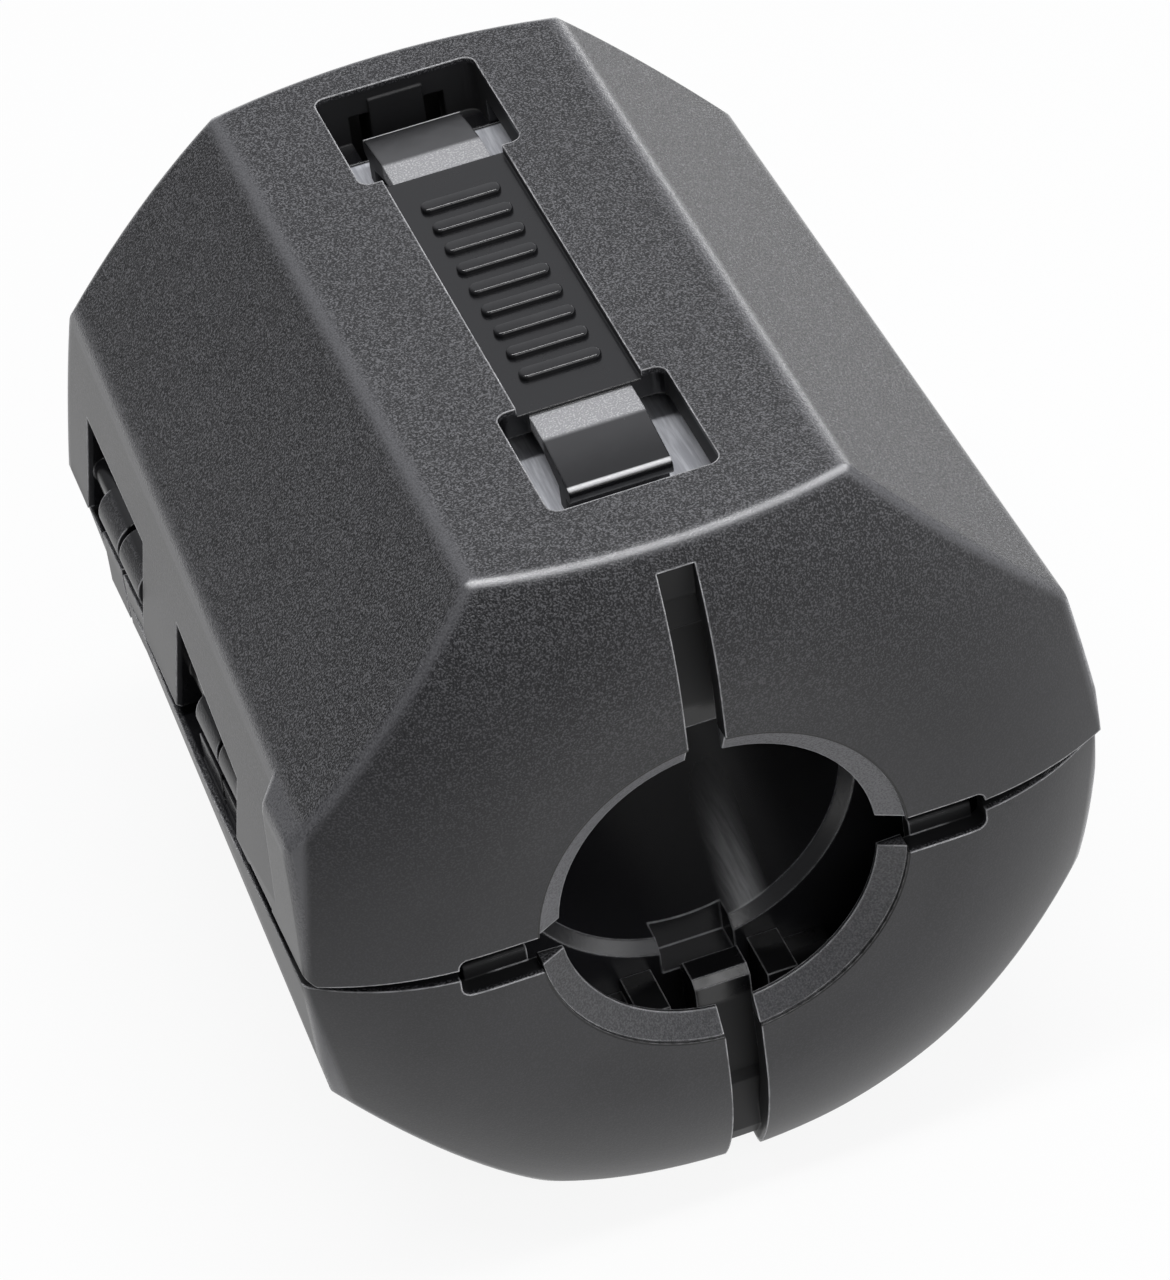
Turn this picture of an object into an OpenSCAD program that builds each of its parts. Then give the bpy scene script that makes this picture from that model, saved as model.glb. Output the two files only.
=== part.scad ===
// Clip on ferrite bead: two hinged black nylon case halves, each holding one ferrite half core.
// Bore axis along Y, hinge on the minus X side, upper half towards plus Z. Millimetres.

/* [Case] */
// half width of the case at the parting plane
case_half_w = 30.4; // [26:0.1:35]
// narrowing of the case from there to the corner of side and sloped face
side_draft = 0.5; // [0.2:0.1:1]
// height of that corner above the parting plane
corner_z = 12.5; // [11:0.1:14]
// half width of the flat top face
top_half_w = 13.9; // [12:0.1:16]
// half height of the closed case
half_h = 30.2; // [26:0.1:35]
// half length over the two end faces
half_len = 35.4; // [31:0.1:42]
// radius of the flat middle of an end face
dome_flat_r = 17.5; // [15:0.1:20]
// fall of the domed ends from the end face to the widest edge
dome_drop = 3.4; // [2.8:0.1:3.8]
// the same fall in the lower half
dome_low_drop = 4.6; // [3.8:0.1:4.8]
// rounding of the long edges
edge_r = 1.6; // [0.8:0.1:2]
// rounding of the edges round the end faces
end_edge_r = 1.4; // [1:0.1:1.8]
// wall thickness of the top, sloped and side faces
wall = 2.4; // [2:0.1:2.8]
// wall thickness of the end faces
end_wall = 1.8; // [1.5:0.1:2.1]
// open joint between the two case halves
parting_gap = 1.0; // [0.8:0.1:1.2]

/* [Side panels] */
// how far the side panels lie inside the full section at their top edge, half way along
panel_recess = 2.0; // [1.6:0.1:2.3]
// how far they lie inside it at the parting plane
panel_step = 0.2; // [0.1:0.05:0.4]
// turn of the panels towards the back, in degrees
panel_taper = 1.55; // [1.2:0.05:1.8]
// the same two sizes for the hinge side of the lower half
low_recess = 1.6; // [1.4:0.1:1.9]
low_taper = 2.3; // [2:0.05:2.5]
// rounding of their top edge
panel_r = 2.6; // [2:0.1:3]
// length of the front rim on the hinge side, from the end face
rim_len = 11.2; // [9.5:0.1:13]
// slant of the step up to the front rim in degrees
rim_slant = 34; // [25:1:45]

/* [Cable hole] */
// radius of the lip tips, the free cable hole
lip_tip_r = 12.1; // [10:0.1:13.5]
// width of the lips on the end faces
lip_w = 1.9; // [1.6:0.1:2.2]
// step from the end face down to the lips
lip_step = 0.3; // [0.2:0.05:0.4]
// depth of the lip tips behind the end face
lip_depth = 1.35; // [1.1:0.05:1.5]
// thickness of the lip tips
lip_tip_t = 0.3; // [0.25:0.05:0.4]
// width of the slots in the end faces
slot_w = 2.8; // [2.2:0.1:3.4]
// land between the upper slot and the top face
slot_land = 1.9; // [1.5:0.1:2.5]
// length of the lower slot in the bottom face, from the end face
slot_reach = 6.6; // [5.5:0.1:6.8]
// length of the notches beside the lips
notch_len = 6; // [5:0.1:7]
// notch height in the upper half
notch_up = 1.3; // [1.1:0.1:1.6]
// notch depth in the lower half
notch_low = 2.05; // [1.8:0.05:2.4]
// corner radius of the notches
notch_r = 0.7; // [0.5:0.1:0.9]
// height of the lower lip ends below the parting plane
lip_low = 1.6; // [1.4:0.1:1.9]
// height of the rib behind a notch, below the parting plane
notch_rib = 0.8; // [0.6:0.1:1]

/* [Spring plate] */
// half width of the sunk plate
plate_half_w = 4.7; // [4:0.1:5.4]
// depth of the plate below the face
plate_depth = 0.7; // [0.5:0.1:0.9]
// shift of plate and pockets towards the back
plate_shift = 1.3; // [0:0.1:1.6]
// distance from the end face to the plate, without the shift
plate_end = 20.3; // [19.5:0.1:22]
// length of a pocket
pocket_len = 12; // [10.5:0.1:12.8]
// half width of a pocket
pocket_half_w = 6.35; // [5.8:0.05:7.2]
// corner radius of a pocket
pocket_r = 0.9; // [0.6:0.1:1.2]
// side clearance of a spring finger to the plate edge
spring_inset = 0.85; // [0.6:0.05:1.1]
// length of a spring finger
spring_len = 8.3; // [7.4:0.1:9]
// thickness of a spring finger
spring_t = 1.3; // [1.1:0.1:1.5]
// step from the plate down to it
spring_step = 0.25; // [0.15:0.05:0.35]
// length of its level part
spring_flat = 2.9; // [2.4:0.1:3.4]
// fall from there to its nose
spring_fall = 0.9; // [0.7:0.05:1.1]
// radius of its bend
spring_r = 4; // [3:0.5:5]
// radius of its nose
spring_nose_r = 0.6; // [0.4:0.05:0.65]
// length of its foot on the core
spring_foot = 1.4; // [1.1:0.1:1.7]
// distance of the foot behind the nose
spring_set = 1.2; // [0.9:0.1:1.5]

/* [Ferrite] */
// radial step from the lip tips to the bore
bore_step = 0.6; // [0.4:0.1:0.8]
// space between an end face and the core
core_end_gap = 9.6; // [9:0.1:10.2]
// space above the core for the spring fingers
core_lift = 2.4; // [2:0.1:2.8]
// side clearance of the core in the case
core_side_gap = 0.9; // [0.6:0.1:1.4]
// clearance of the core to the sloped faces
core_slope_gap = 0.9; // [0.6:0.1:1.2]
// bevel of the bore ends
core_bevel = 0.9; // [0.7:0.1:1.2]
// half width of the notch in the bore end
core_notch_half_w = 2.85; // [2.5:0.05:3.3]
// length of that notch
core_notch_len = 2.6; // [2.2:0.1:3]
// depth of that notch below the bore
core_notch_depth = 2.5; // [2:0.1:3]
// gap between the ground faces of the two cores
core_gap = 0.2; // [0.1:0.05:0.3]

/* [End stops] */
// side overhang of the cable finger behind an end slot
finger_side = 0.75; // [0.6:0.05:0.9]
// distance of the finger back face from the end face
finger_in = 7.2; // [6.9:0.1:7.6]
// thickness of the finger
finger_t = 3.2; // [2.8:0.1:3.6]
// height of the finger head inside the lip tips
finger_proud = 0.2; // [0:0.05:0.2]
// height of the thick root of the finger below the wall
finger_root = 5.6; // [5:0.1:6.2]
// extra thickness of that root, and the bevels of the finger
finger_bevel = 0.6; // [0.4:0.1:0.8]
// gap between finger and core stop lugs
lug_gap = 1.65; // [1.3:0.05:1.9]
// width of the tall part of a lug
lug_tall_w = 2.4; // [2:0.1:2.8]
// width of the low part of a lug
lug_low_w = 3.6; // [3:0.1:4.2]
// height of the tall part outside the lips
lug_tall = 0.4; // [0.3:0.1:0.6]
// height of the low part outside the lips
lug_low = 1.6; // [1.3:0.1:1.9]
// length of a lug
lug_len = 4.4; // [3.8:0.1:4.8]
// width of the side ribs that hold the core
rib_w = 2.4; // [2:0.1:2.8]
// lower end of the side ribs
rib_foot = 1.2; // [1:0.1:1.4]
// upper end of the side ribs
rib_top = 10; // [9:0.1:11]

/* [Hinge] */
// distance of the hinge axis inside the side panel
hinge_inset = 2.9; // [2.5:0.1:3.1]
// hinge axis, height above the parting plane
hinge_z = 3.6; // [3.4:0.1:3.9]
// radius of the hinge rod
rod_r = 1.2; // [1:0.05:1.4]
// running clearance of the hinge rod
rod_play = 0.08; // [0.05:0.01:0.1]
// seat of the rod ends in the walls
rod_seat = 1.8; // [1.5:0.1:2.2]
// wall of the hinge hooks round the rod
eye_wall = 1.02; // [0.9:0.02:1.1]
// gap between the two hooks in a window
eye_split = 0.65; // [0.5:0.05:0.8]
// gap from a hook to the front edge of its window
eye_front = 0.6; // [0.4:0.05:0.8]
// gap from a hook to the back edge of its window
eye_back = 5.1; // [4.5:0.1:5.8]
// height of the hinge windows at the back
window_z = 9.0; // [8.5:0.1:9.8]
// height of the back edge of the front window
window_mid_z = 8.5; // [8:0.1:9]
// height of its front edge
window_front_z = 6.7; // [6.6:0.1:7.5]
// height of the short window beside the rim
window_rim_z = 1.5; // [1.3:0.1:1.8]
// length of that window
window_rim_len = 5.6; // [4.8:0.1:6.2]
// wall between the end face and the back window
window_end = 8.7; // [7.8:0.1:10]
// distance from the end face to the front window
window_start = 19.8; // [19:0.1:21]
// middle of the wall between the two windows
window_wall_y = 5.6; // [5:0.1:6.2]
// width of that wall
window_wall_w = 9.4; // [8:0.1:10.5]

/* [Latch] */
// lower edge of the latch windows
latch_z = 3.5; // [3.1:0.1:3.9]
// height of the latch windows
latch_h = 4.2; // [3.8:0.1:4.8]
// width of the latch tabs
latch_w = 8; // [7:0.1:9]
// thickness of the latch tabs
latch_t = 1.5; // [1.3:0.05:1.7]
// reach of the latch barbs
latch_barb = 1.7; // [1.5:0.1:1.8]
// foot of the latch tabs below the parting plane
latch_root = 9; // [7.8:0.1:10]
// distance between the two latches
latch_pitch = 22; // [19:0.1:24]
// shift of the latches towards the back
latch_shift = 2; // [0:0.1:2.4]
// clearance round the latch tabs
latch_gap = 0.3; // [0.25:0.05:0.35]

/* [Hidden] */
$fn = 96;
// longer than any cut
far = 4 * (half_len + case_half_w + half_h);
// overlap of fused pieces
fuse = wall / 48;
arc_steps = 5;
par_z = parting_gap / 2;
corner_half_w = case_half_w - side_draft;
panel_half_w = case_half_w - panel_step;
panel_top_x = corner_half_w - panel_recess;
slope = (half_h - corner_z) / (corner_half_w - top_half_w);
slope_len = norm([1, slope]);
panel_top_z = half_h - slope * (panel_top_x - top_half_w);
side_dx = (panel_half_w - panel_top_x) / panel_top_z;
slope_tilt = atan(slope);
slope_d = (slope * corner_half_w + corner_z) / slope_len;
side_tilt = 90 - atan(side_draft / corner_z);
side_d = case_half_w * sin(side_tilt);
// radii of the domed ends
dome_edge_r = dome_radius(dome_drop);
dome_low_r = dome_radius(dome_low_drop);
rim_y = half_len - rim_len;
// inside of the walls
in_top_z = half_h - wall;
in_top_x = top_half_w + wall * (1 - slope_len) / slope;
in_par_x = panel_half_w - wall * norm([1, side_dx]);
in_cor_z = (half_h + slope * top_half_w - wall * slope_len - slope * in_par_x) / (1 - slope * side_dx);
in_cor_x = in_par_x - side_dx * in_cor_z;
// middle of the walls, where inner ribs and stops are rooted
mid_top_z = half_h - wall / 2;
lip_outer_r = lip_tip_r + lip_w;
notch_x = lip_outer_r + notch_len;
slot_top = half_h - slot_land;
slot_floor_y = half_len - slot_reach;
// cores
bore_r = lip_tip_r + bore_step;
core_half_len = half_len - core_end_gap;
core_half_w = in_cor_x - core_side_gap;
core_h = in_top_z - core_lift;
core_top_half_w = in_top_x + core_lift / slope - core_slope_gap * slope_len / slope;
core_cor_z = core_h - slope * (core_half_w - core_top_half_w);
core_notch_r = bore_r + core_notch_depth;
// plate, pockets and spring fingers
pocket_start = half_len - plate_end;
spring_half_w = plate_half_w - spring_inset;
spring_drop = half_h - plate_depth - spring_step - core_h;
// end stops
finger_half_w = slot_w / 2 + finger_side;
finger_back = half_len - finger_in;
finger_front = finger_back + finger_t;
finger_tip = lip_tip_r - finger_proud;
finger_step = in_top_z - finger_root;
lug_y = [-core_half_len - lug_len, -core_half_len];
lug_in = finger_half_w + lug_gap;
lug_mid = lug_in + lug_tall_w;
lug_out = lug_mid + lug_low_w;
rib_ys = [window_wall_y, rim_len / 2 - rim_y];
// hinge on the minus X side
hinge_x = panel_half_w - hinge_inset;
eye_r = rod_r + rod_play + eye_wall;
eye_mouth = 0.85 * rod_r;
sweep_r = hinge_z + latch_gap;
back_window = [window_wall_y + window_wall_w / 2, half_len - window_end];
front_window = [window_start - half_len, window_wall_y - window_wall_w / 2];
rim_window = [-rim_y, window_rim_len - rim_y];
rod_ends = [front_window[0] - rod_seat, back_window[1] + rod_seat];
// latch on the plus X side
latch_x = in_par_x - side_dx * (latch_z + latch_h) - latch_gap - latch_t;
latch_ys = [latch_shift - latch_pitch / 2, latch_shift + latch_pitch / 2];

// radius of a dome with a given fall
function dome_radius(drop) = (pow(max(half_h, case_half_w) - dome_flat_r, 2) + drop * drop) / (2 * drop);
// middle of the side wall at a height
function mid_wall(z) = in_par_x - side_dx * z + wall / 2;
function unit(v) = v / norm(v);
function arc_pts(a, p, b, r) = let (u = unit(a - p), w = unit(b - p), h = acos(u * w) / 2,
    c = p + unit(u + w) * (r / sin(h)), s = p + u * (r / tan(h)), e = p + w * (r / tan(h)))
    [for (i = [0 : arc_steps]) c + r * unit((s - c) * (1 - i / arc_steps) + (e - c) * (i / arc_steps))];
function rounded(p, r) = let (n = len(p))
    [for (i = [0 : n - 1]) each r[i] > 0 ? arc_pts(p[(i + n - 1) % n], p[i], p[(i + 1) % n], r[i]) : [p[i]]];
// quarter of an outline mirrored to all four quadrants
function ring4(q) = concat([for (p = q) p], [for (i = [len(q) - 1 : -1 : 0]) [-q[i][0], q[i][1]]],
    [for (i = [1 : len(q) - 1]) [-q[i][0], -q[i][1]]], [for (i = [len(q) - 1 : -1 : 1]) [q[i][0], -q[i][1]]]);
// the two hooks of a hinge window
function hooks(w) = let (e = (w[1] - w[0] - eye_front - eye_split - eye_back) / 2, y = w[0] + eye_front)
    [[y, y + e], [y + e + eye_split, y + 2 * e + eye_split]];

// section in X and Z drawn out along Y
module along_y(y0, y1) translate([0, y1, 0]) rotate([90, 0, 0]) linear_extrude(height = y1 - y0) children();

// section in Y and Z drawn out along X
module along_x(x0, x1) translate([x0, 0, 0]) rotate([90, 0, 90]) linear_extrude(height = x1 - x0) children();

module box(x, y, z) translate([x[0], y[0], z[0]]) cube([x[1] - x[0], y[1] - y[0], z[1] - z[0]]);

module both_ends() { children(); mirror([0, 1, 0]) children(); }

module both_sides() { children(); mirror([1, 0, 0]) children(); }

// the two ends of the plate, which is shifted along Y
module plate_ends() { children(); translate([0, 2 * plate_shift, 0]) mirror([0, 1, 0]) children(); }

// radius and length of a domed end
module dome_end(len_half, flat_r, round_r) intersection() {
    translate([0, -far / 2]) square([far, far]);
    union() {
        translate([0, -far / 2]) square([flat_r, far / 2 + len_half]);
        translate([0, -far / 2]) square([flat_r + round_r, far / 2 + len_half - round_r]);
        translate([flat_r, len_half - round_r]) circle(r = round_r);
    }
}

// body of revolution about the bore axis with flat ends and a large edge rounding
module dome(len_half, flat_r, round_r) rotate([90, 0, 0]) rotate_extrude() intersection() {
    dome_end(len_half, flat_r, round_r);
    mirror([0, 1]) dome_end(len_half, flat_r, round_r);
}

// body of revolution that rounds both edges of a face round the ends: its distance and tilt given
module end_round(d, tilt, round_r)
    let (q = d - dome_flat_r, s = sqrt(round_r * round_r - q * q), rc = d * s / q, top = d + fuse / 9,
        foot = [rc + (d + far / 4) * q / s, -far / 4])
    rotate([0, tilt, 0]) intersection_for (turn = [0, 180]) rotate([0, 0, turn])
        translate([0, half_len - round_r + s - rc, 0]) rotate_extrude() polygon(
            concat([[0, -far / 4], foot], arc_pts(foot, [rc + fuse / 9, top], [0, top], end_edge_r), [[0, top]]));

// what is taken off a side: outside of a panel with a rounded top edge. The panel turns
// about the normal of the sloped face, so that this stays flat
module side_recess(recess, taper)
    let (x = corner_half_w - recess, z = half_h - slope * (x - top_half_w), dx = (panel_half_w - x) / z,
        low = z + wall, arc = arc_pts([dx, -1], [0, 0], [-1, slope], panel_r),
        out = arc[arc_steps] + case_half_w * unit(arc[arc_steps] - arc[arc_steps - 1]))
    translate([x, 0, z]) rotate(a = atan(tan(taper) * slope_len), v = [slope, 0, 1]) along_y(-far / 2, far / 2)
        polygon(concat([[far, -low], [dx * low, -low]], arc, [out, [far, out[1]]]));

// keeps the rim on the hinge side whole
module behind_rim() translate([panel_top_x, -rim_y, -far / 2]) rotate([0, 0, -rim_slant])
    translate([-far / 2, 0, 0]) cube(far);

module outer_shape(round_r, rim)
    difference() {
        intersection() {
            along_y(-half_len - wall, half_len + wall) polygon(rounded(ring4([[case_half_w, 0],
                [corner_half_w, corner_z], [top_half_w, half_h]]), [0, edge_r, edge_r, edge_r, edge_r,
                0, edge_r, edge_r, edge_r, edge_r]));
            dome(half_len, dome_flat_r, round_r);
            end_round(half_h, 0, round_r);
            end_round(slope_d, slope_tilt, round_r);
            end_round(slope_d, -slope_tilt, round_r);
            end_round(side_d, -side_tilt, round_r);
        }
        side_recess(panel_recess, panel_taper);
        mirror([1, 0, 0]) if (rim) intersection() {
            side_recess(panel_recess, panel_taper);
            behind_rim();
        } else side_recess(low_recess, low_taper);
    }

module inner_shape(round_r)
    intersection() {
        along_y(-half_len, half_len) polygon(ring4([[in_par_x, 0], [in_cor_x, in_cor_z], [in_top_x, in_top_z]]));
        dome(half_len - end_wall, dome_flat_r, round_r - end_wall);
    }

// through pocket in the top face
module pocket() translate([0, plate_shift + pocket_start + pocket_len / 2, core_h])
    linear_extrude(height = half_h) polygon(rounded([[pocket_half_w, -pocket_len / 2],
        [pocket_half_w, pocket_len / 2], [-pocket_half_w, pocket_len / 2], [-pocket_half_w, -pocket_len / 2]],
        [pocket_r, pocket_r, pocket_r, pocket_r]));

module plate_cuts() {
    plate_ends() pocket();
    box([-plate_half_w, plate_half_w], [plate_shift - pocket_start - pocket_r,
        plate_shift + pocket_start + pocket_r], [half_h - plate_depth, half_h + wall]);
}

// spring finger that reaches out from the plate and presses on the core with its foot
module spring_finger()
    let (toe = spring_len - spring_set, heel = toe - spring_foot, under = -spring_fall - spring_t)
    translate([0, plate_shift + pocket_start, half_h - plate_depth - spring_step])
    along_x(-spring_half_w, spring_half_w) polygon(rounded([[-2 * pocket_r, 0], [spring_flat, 0],
        [spring_len, -spring_fall], [spring_len, under], [toe, under], [toe, -spring_drop], [heel, -spring_drop],
        [heel, under], [spring_flat, -spring_t], [-2 * pocket_r, -spring_t]],
        [0, spring_r, spring_nose_r, spring_nose_r, 0, 0, 0, 0, 0, 0]));

// wedge lips round the cable hole, the height of their ends given
module lips(end_z) difference() {
    rotate([90, 0, 0]) rotate_extrude() polygon([[lip_outer_r + fuse, half_len - lip_step],
        [lip_tip_r, half_len - lip_depth], [lip_tip_r, half_len - lip_depth - lip_tip_t],
        [lip_outer_r + fuse, half_len - end_wall + fuse]]);
    box([-slot_w / 2, slot_w / 2], [-far / 2, far / 2], [-wall, lip_outer_r + wall]);
    box([-far / 2, far / 2], [-far / 2, far / 2], [-far / 2, end_z]);
}

// cable finger behind one end face
module cable_finger()
    along_x(-finger_half_w, finger_half_w) polygon([[-finger_back, finger_tip + finger_bevel],
        [-finger_back, mid_top_z], [-finger_front - finger_bevel, mid_top_z],
        [-finger_front - finger_bevel, finger_step], [-finger_front, finger_step - finger_bevel],
        [-finger_front, finger_tip + finger_bevel], [finger_bevel - finger_front, finger_tip],
        [-finger_back - finger_bevel, finger_tip]]);

// core stop lugs behind one end face
module core_lugs()
    both_sides() {
        box([lug_in, lug_mid], lug_y, [lip_outer_r + lug_tall, mid_top_z]);
        box([lug_mid - fuse, lug_out], lug_y, [lip_outer_r + lug_low, mid_top_z]);
    }

// upright ribs that hold the core between the side walls
module side_ribs() both_sides() for (y = rib_ys) along_y(y - rib_w / 2, y + rib_w / 2)
    polygon([[core_half_w, rib_foot], [mid_wall(rib_foot), rib_foot], [mid_wall(rib_top), rib_top],
        [core_half_w, rib_top]]);

// one case half without hinge and latch, for the plus Z side
module half_shell(notch, lip_end, slot_end, slot_y, round_r, rim) {
    difference() {
        union() {
            difference() {
                outer_shape(round_r, rim);
                inner_shape(round_r);
            }
            in_wall(round_r) core_lugs();
        }
        box([-far / 2, far / 2], [-far / 2, far / 2], [-far / 2, par_z]);
        rotate([90, 0, 0]) cylinder(r = lip_outer_r, h = far, center = true);
        both_ends() box([-slot_w / 2, slot_w / 2], [-far / 2, -slot_y], [0, slot_end]);
        both_sides() both_ends() along_y(-far / 2, -finger_back) polygon(rounded([[0, -wall], [notch_x, -wall],
            [notch_x, notch], [0, notch]], [0, 0, notch_r, 0]));
        plate_cuts();
    }
    in_wall(round_r) cable_finger();
    both_ends() lips(lip_end);
    plate_ends() spring_finger();
    side_ribs();
}

// stops at both ends, rooted no deeper than the middle of the end walls
module in_wall(round_r) intersection() {
    both_ends() children();
    dome(half_len - end_wall / 2, dome_flat_r, round_r - end_wall / 2);
}

module hinge_window(y, z0, z1) along_x(-far / 2, -core_half_w)
    polygon([[y[0], -wall], [y[1], -wall], [y[1], z1], [y[0], z0]]);

module hinge_axis(r, y0, y1) translate([-hinge_x, y1, hinge_z]) rotate([90, 0, 0]) cylinder(r = r, h = y1 - y0);

// hooks of one window, open towards the core so that the rod snaps in
module hinge_hooks(w) difference() {
    for (e = hooks(w)) {
        hinge_axis(eye_r, e[0], e[1]);
        box([-hinge_x - eye_r, -hinge_x], e, [-par_z - wall, hinge_z - rod_r - eye_wall / 2]);
    }
    hinge_axis(rod_r + rod_play, -far / 2, far / 2);
    box([eye_mouth - hinge_x, 0], [-far / 2, far / 2], [0, far / 2]);
}

module latch_window(y) box([latch_x + latch_t / 2, far / 2],
    [y - latch_w / 2 - latch_gap, y + latch_w / 2 + latch_gap], [latch_z, latch_z + latch_h]);

// latch tab with its barb in the window of the upper half
module latch_tab(y) let (z = latch_z + latch_gap, x = latch_x + latch_t)
    along_y(y - latch_w / 2, y + latch_w / 2) polygon([[latch_x, -latch_root],
        [mid_wall(latch_root), -latch_root], [mid_wall(2 * par_z), -2 * par_z], [x, -2 * par_z], [x, z],
        [x + latch_barb, z], [x + latch_barb, z + latch_gap], [x, latch_z + latch_h - latch_gap],
        [latch_x + latch_t / 2, latch_z + latch_h], [latch_x, latch_z + latch_h]]);

// rib that closes a notch from behind
module notch_back()
    let (y0 = end_wall - half_len - fuse, y1 = end_wall - half_len + wall / 2, z0 = -notch_low - wall)
    both_sides() both_ends() along_x(lip_outer_r + finger_bevel, notch_x - finger_bevel)
        polygon(rounded([[y0, z0], [y1, z0], [y1, -notch_rib], [y0, -notch_rib]], [0, 0, notch_r / 2, notch_r / 2]));

module upper_case() color("dimgray") {
    difference() {
        half_shell(notch_up, notch_up, slot_top, half_len - end_wall - wall / 2, dome_edge_r, true);
        hinge_window(back_window, window_z, window_z);
        hinge_window(front_window, window_front_z, window_mid_z);
        hinge_window(rim_window, window_rim_z, window_rim_z);
        difference() {
            box([-far / 2, -hinge_x], [-far / 2, far / 2], [0, hinge_z]);
            hinge_axis(sweep_r, -far / 2, far / 2);
        }
        for (y = latch_ys) latch_window(y);
    }
    hinge_axis(rod_r, rod_ends[0], rod_ends[1]);
}

module lower_case() color("dimgray") {
    mirror([0, 0, 1]) half_shell(notch_low, lip_low, far / 2, slot_floor_y, dome_low_r, false);
    notch_back();
    for (w = [back_window, front_window]) hinge_hooks(w);
    for (y = latch_ys) latch_tab(y);
}

// ferrite half core for the plus Z side
module core() difference() {
    along_y(-core_half_len, core_half_len) polygon([[core_half_w, core_gap / 2], [core_half_w, core_cor_z],
        [core_top_half_w, core_h], [-core_top_half_w, core_h], [-core_half_w, core_cor_z],
        [-core_half_w, core_gap / 2]]);
    rotate([90, 0, 0]) cylinder(r = bore_r, h = far, center = true);
    both_ends() {
        translate([0, core_bevel - core_half_len, 0]) rotate([90, 0, 0])
            cylinder(r1 = bore_r, r2 = bore_r + 2 * core_bevel, h = 2 * core_bevel);
        box([-core_notch_half_w, core_notch_half_w], [-far / 2, core_notch_len - core_half_len], [0, core_notch_r]);
    }
}

module upper_core() color("slategray") core();

module lower_core() color("slategray") mirror([0, 0, 1]) core();

upper_case();
lower_case();
upper_core();
lower_core();
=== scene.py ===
"""Clip-on ferrite bead: textured black nylon case halves round two grey ferrite half cores.

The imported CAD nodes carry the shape. This script gives them their finishes, adds the raised
ribs on the sunk plates and sets up the studio. Metres, bore along Y, plate side up.
"""
import math

import bmesh
import bpy
from mathutils import Matrix, Vector


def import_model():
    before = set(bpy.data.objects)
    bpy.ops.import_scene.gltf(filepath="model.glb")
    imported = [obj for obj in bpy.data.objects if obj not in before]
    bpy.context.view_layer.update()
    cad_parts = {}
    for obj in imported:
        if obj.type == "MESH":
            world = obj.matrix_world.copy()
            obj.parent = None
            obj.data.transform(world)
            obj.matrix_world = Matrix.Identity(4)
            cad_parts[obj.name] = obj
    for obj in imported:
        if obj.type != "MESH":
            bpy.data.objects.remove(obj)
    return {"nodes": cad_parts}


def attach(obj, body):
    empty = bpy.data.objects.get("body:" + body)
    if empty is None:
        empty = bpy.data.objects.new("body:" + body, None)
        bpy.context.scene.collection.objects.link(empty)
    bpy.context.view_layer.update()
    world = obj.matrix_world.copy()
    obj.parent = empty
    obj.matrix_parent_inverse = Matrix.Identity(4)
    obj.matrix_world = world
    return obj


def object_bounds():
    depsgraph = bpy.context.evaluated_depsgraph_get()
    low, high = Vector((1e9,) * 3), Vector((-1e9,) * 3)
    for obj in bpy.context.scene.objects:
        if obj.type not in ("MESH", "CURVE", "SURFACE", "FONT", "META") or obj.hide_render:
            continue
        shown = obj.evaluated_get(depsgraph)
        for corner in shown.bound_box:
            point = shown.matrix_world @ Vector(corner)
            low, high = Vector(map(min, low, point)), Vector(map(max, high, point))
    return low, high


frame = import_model()
cad_box = [list(corner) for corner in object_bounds()]
scene = bpy.context.scene
MM = 0.001
PER_MM = 1000.0
FLOAT, VECTOR = "NodeSocketFloat", "NodeSocketVector"

# Sizes of the case in millimetres, as in the CAD source
HALF_H = 30.2
HALF_LEN = 35.4
DOME_FLAT_R = 17.5
DOME_R_UP, DOME_R_LOW = 26.17, 20.39
SLOPE = 1.10625
SLOPE_D = 30.56
PANEL_HALF_W, PANEL_LEAN, PANEL_TAPER = 30.2, 0.15, 0.024
LIP_OUTER_R = 14.0
BORE_R = 12.7
PLATE_DEPTH = 0.7
PLATE_SHIFT = 1.3
PLATE_HALF_LEN = 15.1
SPRING_HALF_W = 3.85
SPRING_TOP = 29.25
SPRING_FLAT_LEN, SPRING_LEN = 3.0, 8.3
NOSE_START, NOSE_LOW = 7.8, 28.25
CORE_HALF_LEN = 25.8
FIRED_R = 16.1

# Raised ribs in millimetres
RIB_LEN, RIB_W, RIB_H = 6.2, 1.3, 0.42
RIB_COUNT, RIB_PITCH = 9, 2.75


def grey(level, blue):
    """A grey with its own blue part, as a colour value."""
    return (level, level, blue, 1.0)


# Colours of the nylon, from the deep polished faces, painted darker as shade, to the edges, painted
# lighter as highlights
NYLON_DEEP_SHADE = grey(0.007, 0.008)
NYLON_DARK, NYLON_PALE = grey(0.015, 0.0175), grey(0.020, 0.0228)
# Grain pattern: pits painted dark as shade, tops painted light as sparkle
GRAIN_PIT_SHADE, GRAIN_TOP_SPARKLE = grey(0.002, 0.003), grey(0.19, 0.20)
# Lips painted lighter than the nylon: upper half painted lit, lower half painted shaded
LIP_SHADED_LOW, LIP_LIT_UP = grey(0.06, 0.064), grey(0.14, 0.147)
# Painted highlights: a lighter band along corners between outer faces, a bright line along the brow
CORNER_HIGHLIGHT, BROW_HIGHLIGHT = grey(0.13, 0.137), grey(0.5, 0.51)
# Painted glints along sharp edges, and painted shade in the seam groove round the lips
EDGE_GLINT, SEAM_SHADE = grey(0.75, 0.765), grey(0.004, 0.004)
# Painted sheen fading over the spring bend and a painted glint on the spring nose
SPRING_BEND_SHEEN, SPRING_NOSE_GLINT = grey(0.035, 0.037), grey(0.6, 0.61)
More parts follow.
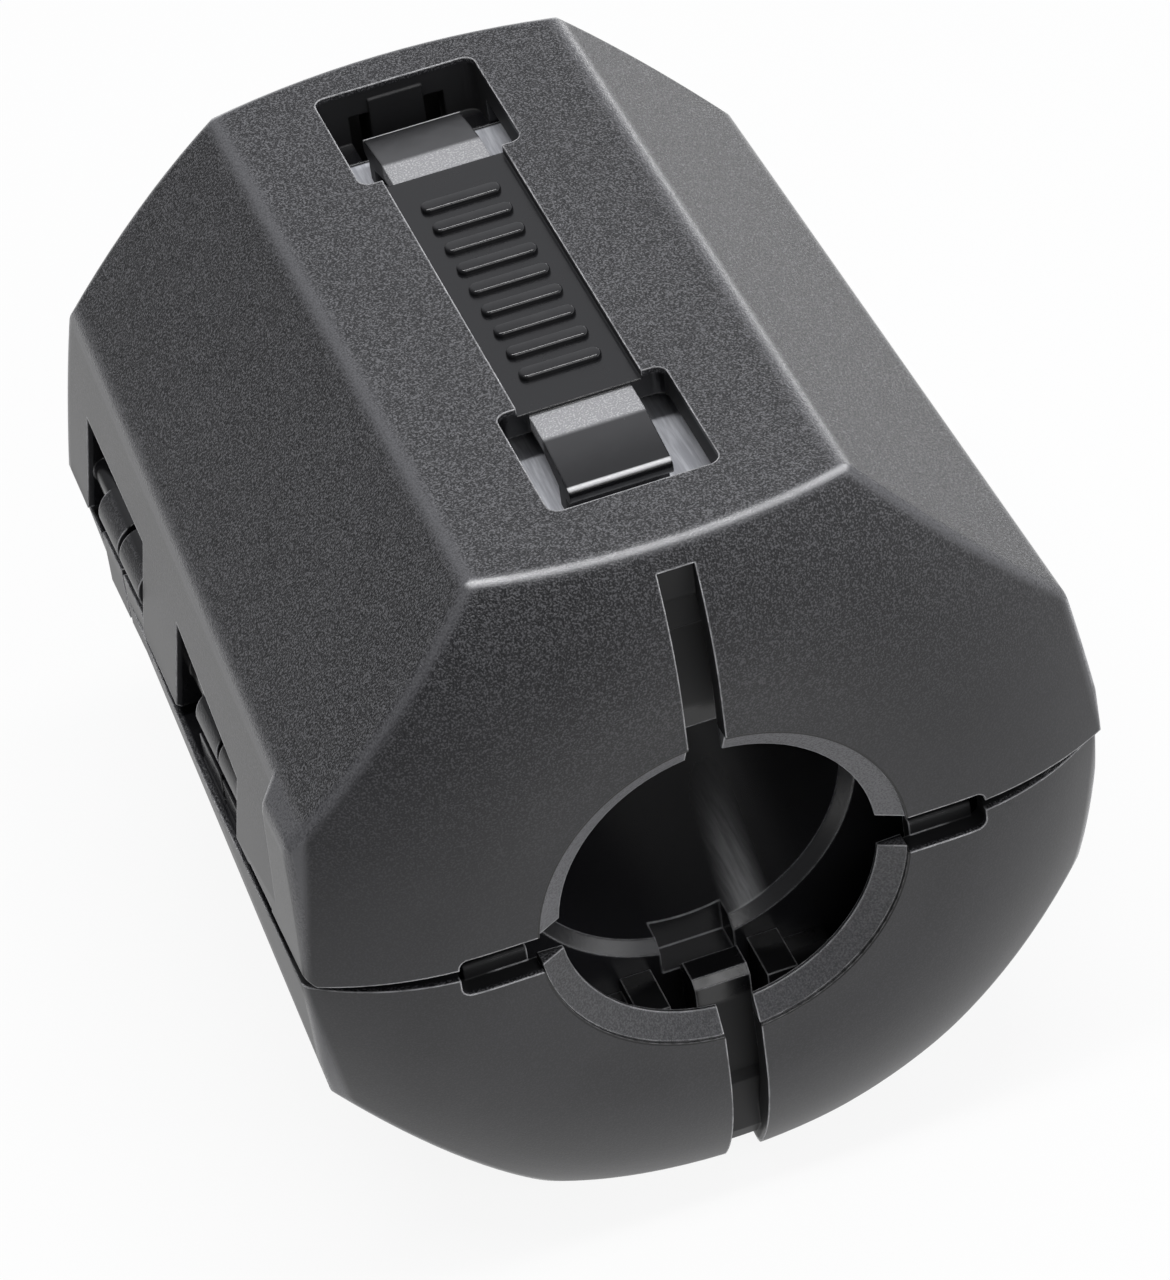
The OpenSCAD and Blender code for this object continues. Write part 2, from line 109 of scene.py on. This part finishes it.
# Painted sheen on the level part of the spring fingers, lighter on grain tops
SPRING_SHEEN, SPRING_SHEEN_TOPS = grey(0.30, 0.31), grey(0.50, 0.51)
RIB_DARK, RIB_PALE = grey(0.009, 0.010), grey(0.013, 0.014)
NYLON_IOR = 1.53

# Colours of the ferrite
GROUND_DARK, GROUND_PALE = (0.42, 0.428, 0.465, 1.0), (0.66, 0.672, 0.715, 1.0)
FIRED_DARK, FIRED_PALE = grey(0.014, 0.016), grey(0.026, 0.029)
# Painted reflection streak in the bore and painted glints along the ferrite's edges
BORE_STREAK_REFLECTION, FERRITE_EDGE_GLINT = (0.85, 0.855, 0.87, 1.0), (0.7, 0.706, 0.72, 1.0)
FERRITE_IOR = 1.8


# Shader helpers

def node_tree(material):
    material.use_nodes = True
    tree = material.node_tree
    tree.nodes.clear()
    return tree


def put(tree, target, value):
    """Link a socket into an input, or set its value."""
    if isinstance(value, bpy.types.NodeSocket):
        tree.links.new(value, target)
    else:
        target.default_value = value


def add(tree, kind, **inputs):
    """A node with its named inputs set to values or linked to sockets."""
    node = tree.nodes.new(kind)
    for name, value in inputs.items():
        put(tree, node.inputs[name.replace("_", " ")], value)
    return node


def calc(tree, operation, a, b=0.0, c=0.0, clamp=False):
    node = tree.nodes.new("ShaderNodeMath")
    node.operation = operation
    node.use_clamp = clamp
    for i, value in enumerate((a, b, c)):
        put(tree, node.inputs[i], value)
    return node.outputs[0]


def times(tree, first, *others):
    """Product of masks or values."""
    for other in others:
        first = calc(tree, "MULTIPLY", first, other)
    return first


def largest(tree, first, *others):
    for other in others:
        first = calc(tree, "MAXIMUM", first, other)
    return first


def size_of(tree, value):
    return calc(tree, "ABSOLUTE", value)


def split_xyz(tree, vector):
    node = tree.nodes.new("ShaderNodeSeparateXYZ")
    tree.links.new(vector, node.inputs[0])
    return node.outputs


def in_mm(tree, vector):
    """X, Y and Z of a place, in millimetres."""
    return [times(tree, out, PER_MM) for out in split_xyz(tree, vector)]


def noise(tree, vector, scale, detail=2.0, roughness=0.5):
    node = add(tree, "ShaderNodeTexNoise", Vector=vector, Scale=scale, Detail=detail, Roughness=roughness)
    return node.outputs["Fac"]


def ramp(tree, value, low, high, out_low=0.0, out_high=1.0):
    node = tree.nodes.new("ShaderNodeMapRange")
    node.interpolation_type = "SMOOTHSTEP"
    for i, item in enumerate((value, low, high, out_low, out_high)):
        put(tree, node.inputs[i], item)
    return node.outputs[0]


def mix_color(tree, fac, a, b):
    node = tree.nodes.new("ShaderNodeMix")
    node.data_type = "RGBA"
    for i, item in zip((0, 6, 7), (fac, a, b)):
        put(tree, node.inputs[i], item)
    return node.outputs[2]


def mix_value(tree, fac, a, b):
    node = tree.nodes.new("ShaderNodeMix")
    for i, item in zip((0, 2, 3), (fac, a, b)):
        put(tree, node.inputs[i], item)
    return node.outputs[0]


def group(name, inputs, outputs):
    tree = bpy.data.node_groups.new(name, "ShaderNodeTree")
    for label, kind, value in inputs:
        socket = tree.interface.new_socket(label, in_out="INPUT", socket_type=kind)
        if value is not None:
            socket.default_value = value
    for label, kind in outputs:
        tree.interface.new_socket(label, in_out="OUTPUT", socket_type=kind)
    return tree, tree.nodes.new("NodeGroupInput").outputs, tree.nodes.new("NodeGroupOutput").inputs


def use_group(tree, source, **inputs):
    node = tree.nodes.new("ShaderNodeGroup")
    node.node_tree = source
    for name, value in inputs.items():
        put(tree, node.inputs[name.replace("_", " ")], value)
    return node.outputs


def grain_group():
    """Spark eroded mould grain: fine pebbles with flattened tops."""
    tree, gin, gout = group("spark grain",
                            [("Vector", VECTOR, None), ("Scale", FLOAT, 4200.0), ("Amount", FLOAT, 1.0)],
                            [("Height", FLOAT), ("Tops", FLOAT), ("Pits", FLOAT)])
    fine = noise(tree, gin["Vector"], gin["Scale"], 1.0)
    coarse = noise(tree, gin["Vector"], times(tree, gin["Scale"], 0.4), 1.0)
    height = calc(tree, "MULTIPLY_ADD", coarse, 0.6, ramp(tree, fine, 0.3, 0.7))
    for name, value in (("Height", height), ("Tops", ramp(tree, fine, 0.5, 0.66)),
                        ("Pits", ramp(tree, fine, 0.5, 0.36))):
        tree.links.new(times(tree, value, gin["Amount"]), gout[name])
    return tree


def skin_group():
    """Depth below the outside of the case, worked out from its faces, domes and lips.

    Skin is the outside, Lip the wedge lips of the hole, Corner the edges between outer faces and
    Brow the edge between the top and an end.
    """
    tree, gin, gout = group("case skin", [("Vector", VECTOR, None)],
                            [(name, FLOAT) for name in ("Skin", "Lip", "Corner", "Brow", "Height mm",
                                                        "Radius mm", "Along mm")])
    x, y, z = in_mm(tree, gin["Vector"])
    ax, ay, az = (size_of(tree, value) for value in (x, y, z))
    radius = calc(tree, "SQRT", calc(tree, "MULTIPLY_ADD", x, x, times(tree, z, z)))
    dome_r = mix_value(tree, ramp(tree, z, -0.3, 0.3), DOME_R_LOW, DOME_R_UP)
    run = largest(tree, calc(tree, "SUBTRACT", radius, DOME_FLAT_R), 0.0)
    square = calc(tree, "SUBTRACT", times(tree, dome_r, dome_r), times(tree, run, run))
    rise = calc(tree, "SQRT", largest(tree, square, 0.0))
    end = calc(tree, "SUBTRACT", calc(tree, "ADD", rise, HALF_LEN), dome_r)
    end_depth = calc(tree, "SUBTRACT", end, ay)
    top_depth = calc(tree, "SUBTRACT", HALF_H, az)
    slope_reach = calc(tree, "DIVIDE", calc(tree, "MULTIPLY_ADD", ax, SLOPE, az), math.hypot(1.0, SLOPE))
    slope_depth = calc(tree, "SUBTRACT", SLOPE_D, slope_reach)
    panel = calc(tree, "MULTIPLY_ADD", y, -PANEL_TAPER, PANEL_HALF_W)
    panel = calc(tree, "MULTIPLY_ADD", az, -PANEL_LEAN, panel)
    panel_depth = calc(tree, "SUBTRACT", panel, ax)
    depths = (end_depth, top_depth, slope_depth, panel_depth)
    depth, close = depths[0], 0.0
    for value in depths[1:]:
        depth = calc(tree, "MINIMUM", depth, value)
    for value in depths:
        close = calc(tree, "ADD", ramp(tree, value, 0.9, 0.1), close)
    corner = calc(tree, "SUBTRACT", close, 1.0, clamp=True)
    brow = times(tree, ramp(tree, end_depth, 0.5, 0.05), ramp(tree, top_depth, 0.5, 0.05))
    lip = times(tree, ramp(tree, radius, LIP_OUTER_R + 0.05, LIP_OUTER_R - 0.05),
                ramp(tree, end_depth, 1.6, 1.3))
    skin = largest(tree, ramp(tree, depth, 0.6, 0.3), lip)
    for name, value in (("Skin", skin), ("Lip", lip), ("Corner", corner), ("Brow", brow),
                        ("Height mm", z), ("Radius mm", radius), ("Along mm", ay)):
        tree.links.new(value, gout[name])
    return tree


def edge_group():
    """Small rounding of all sharp edges, with a broken mask along them for painted edge glints."""
    tree, gin, gout = group("moulded edges", [("Vector", VECTOR, None), ("Radius", FLOAT, 0.3 * MM)],
                            [("Normal", VECTOR), ("Mask", FLOAT)])
    bevel = add(tree, "ShaderNodeBevel", Radius=gin["Radius"])
    bevel.samples = 6
    dot = tree.nodes.new("ShaderNodeVectorMath")
    dot.operation = "DOT_PRODUCT"
    tree.links.new(bevel.outputs["Normal"], dot.inputs[0])
    tree.links.new(tree.nodes.new("ShaderNodeNewGeometry").outputs["Normal"], dot.inputs[1])
    turned = ramp(tree, dot.outputs["Value"], 0.985, 0.88)
    broken = ramp(tree, noise(tree, gin["Vector"], 700.0, 3.0, 0.6), 0.3, 0.6, 0.45, 1.0)
    tree.links.new(bevel.outputs["Normal"], gout["Normal"])
    tree.links.new(times(tree, turned, broken), gout["Mask"])
    return tree


def spring_group():
    """Masks on the spring fingers from above, for painted light: sheen on the level part next to the
    plate, sheen fading over the bend behind it and a glint on the nose.
    """
    tree, gin, gout = group("spring tops", [("Vector", VECTOR, None)],
                            [("Level", FLOAT), ("Bend", FLOAT), ("Nose", FLOAT)])
    x, y, z = in_mm(tree, gin["Vector"])
    az = size_of(tree, z)
    out = calc(tree, "SUBTRACT", size_of(tree, calc(tree, "SUBTRACT", y, PLATE_SHIFT)), PLATE_HALF_LEN)
    across = ramp(tree, size_of(tree, x), SPRING_HALF_W + 0.1, SPRING_HALF_W)
    high = ramp(tree, az, SPRING_TOP - 1.2, SPRING_TOP - 0.95)
    top = times(tree, across, high, ramp(tree, out, 0.05, 0.2))
    past = ramp(tree, out, SPRING_FLAT_LEN - 0.3, SPRING_FLAT_LEN + 0.3)
    level = times(tree, top, calc(tree, "SUBTRACT", 1.0, past))
    bend = times(tree, top, past, ramp(tree, out, SPRING_LEN - 0.7, SPRING_FLAT_LEN))
    nose = times(tree, ramp(tree, out, NOSE_START - 0.05, NOSE_START + 0.08),
                 ramp(tree, az, NOSE_LOW - 0.05, NOSE_LOW + 0.07),
                 ramp(tree, out, SPRING_LEN + 0.2, SPRING_LEN + 0.1), across)
    for name, value in (("Level", level), ("Bend", bend), ("Nose", nose)):
        tree.links.new(value, gout[name])
    return tree


GRAIN = grain_group()
SKIN = skin_group()
EDGES = edge_group()
SPRINGS = spring_group()


def finish_surface(material, tree, shader):
    out = tree.nodes.new("ShaderNodeOutputMaterial")
    tree.links.new(shader.outputs["BSDF"], out.inputs["Surface"])
    return material


def case_nylon():
    """Black nylon: spark grain on the outside, strongest on top, with painted sparkle on its tops and
    painted shade in its pits; polished deep faces painted darker as shade; painted highlights along edges
    and painted light on the lips and spring fingers; painted shade in the seam.
    """
    material = bpy.data.materials.new("spark_nylon")
    tree = node_tree(material)
    coords = tree.nodes.new("ShaderNodeTexCoord").outputs
    place = coords["Object"]
    facing = split_xyz(tree, coords["Normal"])
    sideways = size_of(tree, facing["X"])
    skin = use_group(tree, SKIN, Vector=place)
    height, radius, along = skin["Height mm"], skin["Radius mm"], skin["Along mm"]
    springs = use_group(tree, SPRINGS, Vector=place)
    edges = use_group(tree, EDGES, Vector=place,
                      Radius=mix_value(tree, skin["Corner"], 0.22 * MM, 0.7 * MM))

    # How strong the grain is
    slopes = times(tree, ramp(tree, sideways, 0.45, 0.65), ramp(tree, height, 0.0, 10.0))
    upper = largest(tree, ramp(tree, height, 5.0, 32.0, 0.08, 0.8), slopes,
                    ramp(tree, facing["Z"], 0.5, 0.9))
    amount = times(tree, upper, skin["Skin"], ramp(tree, sideways, 0.98, 0.9, 0.3, 1.0),
                   calc(tree, "MULTIPLY_ADD", skin["Corner"], -0.7, 1.0))
    amount = largest(tree, amount, times(tree, skin["Lip"], 0.4), times(tree, springs["Level"], 0.8))
    grain = use_group(tree, GRAIN, Vector=place, Scale=6800.0, Amount=amount)

    # Outside colour with painted light on lips, corners, brow and grain tops and painted shade in grain
    # pits; then deep faces painted dark as shade, painted sheen and glint on the spring fingers, painted
    # glints on edges and painted shade in the seam round the lips
    cloud = ramp(tree, noise(tree, place, 90.0, 3.0, 0.55), 0.35, 0.65)
    # Painted light on the lips: the upper half lit, the lower half shaded
    lips = mix_color(tree, ramp(tree, height, -1.0, 1.0), LIP_SHADED_LOW, LIP_LIT_UP)
    outside = mix_color(tree, cloud, NYLON_DARK, NYLON_PALE)
    for mask, share, colour in ((skin["Lip"], 1.0, lips), (skin["Corner"], 0.7, CORNER_HIGHLIGHT),
                                (grain["Pits"], 0.9, GRAIN_PIT_SHADE), (grain["Tops"], 0.55, GRAIN_TOP_SPARKLE),
                                (skin["Brow"], 0.9, BROW_HIGHLIGHT)):
        outside = mix_color(tree, times(tree, mask, share), outside, colour)
    inner = times(tree, ramp(tree, radius, 18.0, 17.0), ramp(tree, along, 24.0, 25.0))
    # Painted glints along sharp edges of the outside and of the hole's inner end
    line = times(tree, edges["Mask"], largest(tree, skin["Skin"], inner))
    # Painted shade: a near-black line in the seam groove round the lips
    off_seam = size_of(tree, calc(tree, "SUBTRACT", radius, LIP_OUTER_R + 0.06))
    seam = times(tree, ramp(tree, off_seam, 0.1, 0.05), ramp(tree, along, HALF_LEN - 2.2, HALF_LEN - 2.0))
    # Painted sheen on the level part of the spring fingers
    painted_light = mix_color(tree, grain["Tops"], SPRING_SHEEN, SPRING_SHEEN_TOPS)
    # Faces deeper than the outer skin are painted darker: painted shade
    base = mix_color(tree, skin["Skin"], NYLON_DEEP_SHADE, outside)
    for mask, share, colour in ((springs["Bend"], 1.0, SPRING_BEND_SHEEN), (springs["Nose"], 0.9, SPRING_NOSE_GLINT),
                                (springs["Level"], 1.0, painted_light), (line, 0.95, EDGE_GLINT),
                                (seam, 1.0, SEAM_SHADE)):
        base = mix_color(tree, times(tree, mask, share), base, colour)

    # Roughness: polished deep faces, matt slots and pocket walls, matt outside with shinier corners
    polish = ramp(tree, noise(tree, place, 420.0, 3.0, 0.6), 0.3, 0.7, 0.18, 0.28)
    slot = times(tree, ramp(tree, along, 27.0, 28.5), ramp(tree, radius, LIP_OUTER_R, LIP_OUTER_R + 0.6))
    pocket = times(tree, ramp(tree, sideways, 0.7, 0.9), ramp(tree, size_of(tree, height), 20.0, 22.0))
    polish = mix_value(tree, largest(tree, slot, pocket), polish, 0.6)
    matt = mix_value(tree, skin["Corner"], mix_value(tree, grain["Tops"], 0.43, 0.32), 0.16)
    wall = times(tree, ramp(tree, sideways, 0.9, 0.98), ramp(tree, height, 0.0, 2.0))
    matt = mix_value(tree, wall, matt, 0.38)

    relief = add(tree, "ShaderNodeBump", Strength=1.0, Distance=0.045 * MM, Normal=edges["Normal"],
                 Height=calc(tree, "MULTIPLY_ADD", seam, -2.5, grain["Height"]))
    shader = add(tree, "ShaderNodeBsdfPrincipled", Base_Color=base, Normal=relief.outputs["Normal"],
                 IOR=NYLON_IOR, Roughness=mix_value(tree, skin["Skin"], polish, matt))
    return finish_surface(material, tree, shader)


def plate_nylon():
    """The same nylon from a polished mould, for the raised ribs."""
    material = bpy.data.materials.new("polished_nylon")
    tree = node_tree(material)
    place = tree.nodes.new("ShaderNodeTexCoord").outputs["Object"]
    swirl = noise(tree, place, 420.0, 3.0, 0.6)
    relief = add(tree, "ShaderNodeBump", Strength=0.12, Distance=0.02 * MM,
                 Height=noise(tree, place, 5200.0))
    shader = add(tree, "ShaderNodeBsdfPrincipled", Normal=relief.outputs["Normal"], IOR=NYLON_IOR,
                 Base_Color=mix_color(tree, ramp(tree, swirl, 0.35, 0.65), RIB_DARK, RIB_PALE),
                 Roughness=ramp(tree, swirl, 0.3, 0.7, 0.1, 0.17))
    return finish_surface(material, tree, shader)


def ferrite_finish():
    """Sintered ferrite: bluish grey ground faces with scratches, and a dark fired skin round the bore; a
    painted reflection streak in the bore and painted glints along edges.
    """
    material = bpy.data.materials.new("ground_ferrite")
    tree = node_tree(material)
    place = tree.nodes.new("ShaderNodeTexCoord").outputs["Object"]
    skin = use_group(tree, SKIN, Vector=place)
    radius, along = skin["Radius mm"], skin["Along mm"]
    edges = use_group(tree, EDGES, Vector=place, Radius=0.3 * MM)
    stretch = add(tree, "ShaderNodeMapping", Vector=place, Scale=(1.0, 0.07, 1.0))
    scratches = noise(tree, stretch.outputs["Vector"], 2600.0, 4.0, 0.65)
    grit = noise(tree, place, 5200.0)
    ground = mix_color(tree, ramp(tree, scratches, 0.35, 0.7), GROUND_DARK, GROUND_PALE)
    fired = largest(tree, ramp(tree, radius, FIRED_R + 0.3, FIRED_R - 0.3),
                    ramp(tree, along, CORE_HALF_LEN - 0.4, CORE_HALF_LEN - 0.2))

    # Painted reflection: a light streak in the bore, strongest at the ends and turning a little on its
    # way in
    x, _, z = split_xyz(tree, place)
    turn = calc(tree, "ARCTAN2", x, times(tree, z, -1.0))
    course = calc(tree, "MULTIPLY_ADD", along, -0.0115, 0.645)
    off = size_of(tree, calc(tree, "SUBTRACT", turn, course))
    painted_light = times(tree, ramp(tree, off, 0.17, 0.0), ramp(tree, along, 8.0, 26.5),
                   ramp(tree, scratches, 0.3, 0.7, 0.6, 1.0),
                   ramp(tree, radius, BORE_R + 0.1, BORE_R + 0.02))

    base = mix_color(tree, fired, ground, mix_color(tree, grit, FIRED_DARK, FIRED_PALE))
    base = mix_color(tree, painted_light, base, BORE_STREAK_REFLECTION)
    # Painted glints along the ferrite's edges
    base = mix_color(tree, times(tree, edges["Mask"], 0.75), base, FERRITE_EDGE_GLINT)
    relief = add(tree, "ShaderNodeBump", Strength=0.25, Distance=0.03 * MM, Normal=edges["Normal"],
                 Height=calc(tree, "ADD", scratches, grit))
    shader = add(tree, "ShaderNodeBsdfPrincipled", Base_Color=base, Normal=relief.outputs["Normal"],
                 IOR=FERRITE_IOR,
                 Roughness=mix_value(tree, fired, ramp(tree, scratches, 0.3, 0.7, 0.36, 0.52), 0.27))
    return finish_surface(material, tree, shader)


CASE = case_nylon()
POLISHED = plate_nylon()
FERRITE = ferrite_finish()

for node, material in (("upper_case", CASE), ("lower_case", CASE),
                       ("upper_core", FERRITE), ("lower_core", FERRITE)):
    mesh = frame["nodes"][node].data
    mesh.materials.clear()
    mesh.materials.append(material)


# Raised ribs on the sunk plates

def rib_mesh(length, width, height):
    """One rounded bar across the plate, lying on Z zero."""
    mesh = bmesh.new()
    bmesh.ops.create_cube(mesh, size=1.0)
    bmesh.ops.scale(mesh, vec=(length, width, 2 * height), verts=mesh.verts)
    upright = [e for e in mesh.edges if abs((e.verts[0].co - e.verts[1].co).z) > 1e-6]
    bmesh.ops.bevel(mesh, geom=upright, offset=0.45 * width, segments=6, profile=0.5, affect="EDGES")
    top = [e for e in mesh.edges if min(v.co.z for v in e.verts) > height * 0.99]
    rim = [e for e in top if any(abs(f.normal.z) < 0.5 for f in e.link_faces)]
    bmesh.ops.bevel(mesh, geom=rim, offset=0.6 * height, segments=4, profile=0.5, affect="EDGES")
    data = bpy.data.meshes.new("plate_rib")
    mesh.to_mesh(data)
    mesh.free()
    return data


def rib_row_tree(rib, material):
    """Copies of one rib at even steps along Y."""
    tree = bpy.data.node_groups.new("rib row", "GeometryNodeTree")
    tree.interface.new_socket("Count", in_out="INPUT", socket_type="NodeSocketInt")
    tree.interface.new_socket("Start", in_out="INPUT", socket_type=VECTOR)
    tree.interface.new_socket("Step", in_out="INPUT", socket_type=VECTOR)
    tree.interface.new_socket("Geometry", in_out="OUTPUT", socket_type="NodeSocketGeometry")
    gin, gout = tree.nodes.new("NodeGroupInput").outputs, tree.nodes.new("NodeGroupOutput").inputs
    line = tree.nodes.new("GeometryNodeMeshLine")
    line.mode = "OFFSET"
    for name, socket in (("Count", "Count"), ("Start", "Start Location"), ("Step", "Offset")):
        tree.links.new(gin[name], line.inputs[socket])
    info = tree.nodes.new("GeometryNodeObjectInfo")
    info.inputs["Object"].default_value = rib
    copies = tree.nodes.new("GeometryNodeInstanceOnPoints")
    tree.links.new(line.outputs["Mesh"], copies.inputs["Points"])
    tree.links.new(info.outputs["Geometry"], copies.inputs["Instance"])
    real = tree.nodes.new("GeometryNodeRealizeInstances")
    tree.links.new(copies.outputs["Instances"], real.inputs["Geometry"])
    coat = tree.nodes.new("GeometryNodeSetMaterial")
    coat.inputs["Material"].default_value = material
    tree.links.new(real.outputs["Geometry"], coat.inputs["Geometry"])
    tree.links.new(coat.outputs["Geometry"], gout["Geometry"])
    return tree


def rib_row(name, body, side):
    """A row of ribs on the plate of one half, side 1 on top and -1 below."""
    rib = bpy.data.objects.new("rib_pattern", rib_mesh(RIB_LEN * MM, RIB_W * MM, RIB_H * MM))
    scene.collection.objects.link(rib)
    carrier = bpy.data.objects.new(name, bpy.data.meshes.new(name))
    scene.collection.objects.link(carrier)
    tree = rib_row_tree(rib, POLISHED)
    modifier = carrier.modifiers.new("ribs", "NODES")
    modifier.node_group = tree
    sockets = {item.name: item.identifier for item in tree.interface.items_tree
               if item.in_out == "INPUT"}
    start = PLATE_SHIFT - RIB_PITCH * (RIB_COUNT - 1) / 2
    modifier[sockets["Count"]] = RIB_COUNT
    modifier[sockets["Start"]] = (0.0, start * MM, side * (HALF_H - PLATE_DEPTH) * MM)
    modifier[sockets["Step"]] = (0.0, RIB_PITCH * MM, 0.0)
    carrier.update_tag()
    seen = carrier.evaluated_get(bpy.context.evaluated_depsgraph_get())
    made = bpy.data.meshes.new_from_object(seen)
    carrier.modifiers.clear()
    carrier.data = made
    made.name = name
    for polygon in made.polygons:
        polygon.use_smooth = True
    bpy.data.objects.remove(rib)
    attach(carrier, body)


rib_row("upper_plate_ribs", "upper_half", 1)
rib_row("lower_plate_ribs", "lower_half", -1)


# Studio

# Floor glow in reflections, in metres: full round its centre and fading outwards
GLOW_CENTRE, GLOW_NEAR, GLOW_FAR = (0.12, 0.09), 0.16, 0.44
FLOOR_HALF, FLOOR_GAP = 1.5, 0.05 * MM

# Soft lamps: name, place, aim and size in metres, watts
LAMPS = (
    ("overhead", (-0.02, -0.05, 0.54), (-0.02, 0, 0), (0.50, 0.07), 2.2),
    ("front_top", (0.05, -0.42, 0.38), (0.05, 0, 0), (0.24, 0.12), 0.32),
    ("right_front", (0.55, -0.45, 0.15), (0, 0, 0), (0.4, 0.4), 0.5),
    ("right_back", (0.42, 0.5, 0.06), (0, 0, 0), (0.3, 0.12), 0.5),
)


def floor_material():
    """White to the camera and pale in reflections, with part of the real shading for the shadow."""
    material = bpy.data.materials.new("pale_floor")
    tree = node_tree(material)
    path = tree.nodes.new("ShaderNodeLightPath").outputs
    diffuse = add(tree, "ShaderNodeBsdfDiffuse", Color=(0.8, 0.8, 0.8, 1.0))
    place = split_xyz(tree, tree.nodes.new("ShaderNodeTexCoord").outputs["Object"])
    off = [calc(tree, "SUBTRACT", place[axis], centre) for axis, centre in zip("XY", GLOW_CENTRE)]
    reach = calc(tree, "SQRT", calc(tree, "ADD", *(times(tree, part, part) for part in off)))
    near = ramp(tree, reach, GLOW_NEAR, GLOW_FAR, 1.0, 0.2)
    glow = add(tree, "ShaderNodeEmission", Color=(1.0, 1.0, 1.0, 1.0),
               Strength=largest(tree, near, path["Is Camera Ray"]))
    seen = largest(tree, path["Is Camera Ray"], path["Is Glossy Ray"], path["Is Transmission Ray"])
    mix = tree.nodes.new("ShaderNodeMixShader")
    tree.links.new(times(tree, seen, 0.9), mix.inputs[0])
    tree.links.new(diffuse.outputs[0], mix.inputs[1])
    tree.links.new(glow.outputs[0], mix.inputs[2])
    out = tree.nodes.new("ShaderNodeOutputMaterial")
    tree.links.new(mix.outputs[0], out.inputs["Surface"])
    return material


def floor():
    half, z = FLOOR_HALF, cad_box[0][2] - FLOOR_GAP
    mesh = bpy.data.meshes.new("studio_floor")
    corners = [(-half, -half, z), (half, -half, z), (half, half, z), (-half, half, z)]
    mesh.from_pydata(corners, [], [(0, 1, 2, 3)])
    mesh.materials.append(floor_material())
    obj = bpy.data.objects.new("studio_floor", mesh)
    scene.collection.objects.link(obj)


def soft_light(name, place, aim, size, watts):
    data = bpy.data.lights.new(name, "AREA")
    data.shape = "RECTANGLE"
    data.size, data.size_y = size
    data.energy = watts
    lamp = bpy.data.objects.new(name, data)
    scene.collection.objects.link(lamp)
    lamp.location = place
    lamp.rotation_euler = (Vector(aim) - Vector(place)).to_track_quat("-Z", "Y").to_euler()


def world():
    """Pale room, darker towards the front left."""
    scene.world = bpy.data.worlds.new("studio")
    scene.world.use_nodes = True
    tree = scene.world.node_tree
    tree.nodes.clear()
    way = tree.nodes.new("ShaderNodeTexCoord").outputs["Generated"]
    dot = tree.nodes.new("ShaderNodeVectorMath")
    dot.operation = "DOT_PRODUCT"
    tree.links.new(way, dot.inputs[0])
    dot.inputs[1].default_value = Vector((0.85, 0.4, 0.3)).normalized()
    strength = ramp(tree, dot.outputs["Value"], -0.6, 0.8, 0.12, 0.75)
    back = add(tree, "ShaderNodeBackground", Color=(0.95, 0.96, 1.0, 1.0), Strength=strength)
    out = tree.nodes.new("ShaderNodeOutputWorld")
    tree.links.new(back.outputs[0], out.inputs["Surface"])


def camera():
    data = bpy.data.cameras.new("photo_camera")
    data.sensor_width = 36.0
    data.lens = 173.95
    data.clip_start, data.clip_end = 0.01, 20.0
    obj = bpy.data.objects.new("photo_camera", data)
    scene.collection.objects.link(obj)
    right = Vector((0.93624, -0.33458, -0.10727))
    up = Vector((0.29599, 0.58656, 0.75389))
    back = Vector((-0.18932, -0.73757, 0.64819))
    turn = Matrix((right, up, back)).transposed().to_4x4()
    obj.matrix_world = Matrix.Translation((-0.08717, -0.34528, 0.29898)) @ turn
    scene.camera = obj


floor()
world()
camera()
for lamp in LAMPS:
    soft_light(*lamp)

scene.view_settings.view_transform = "Standard"
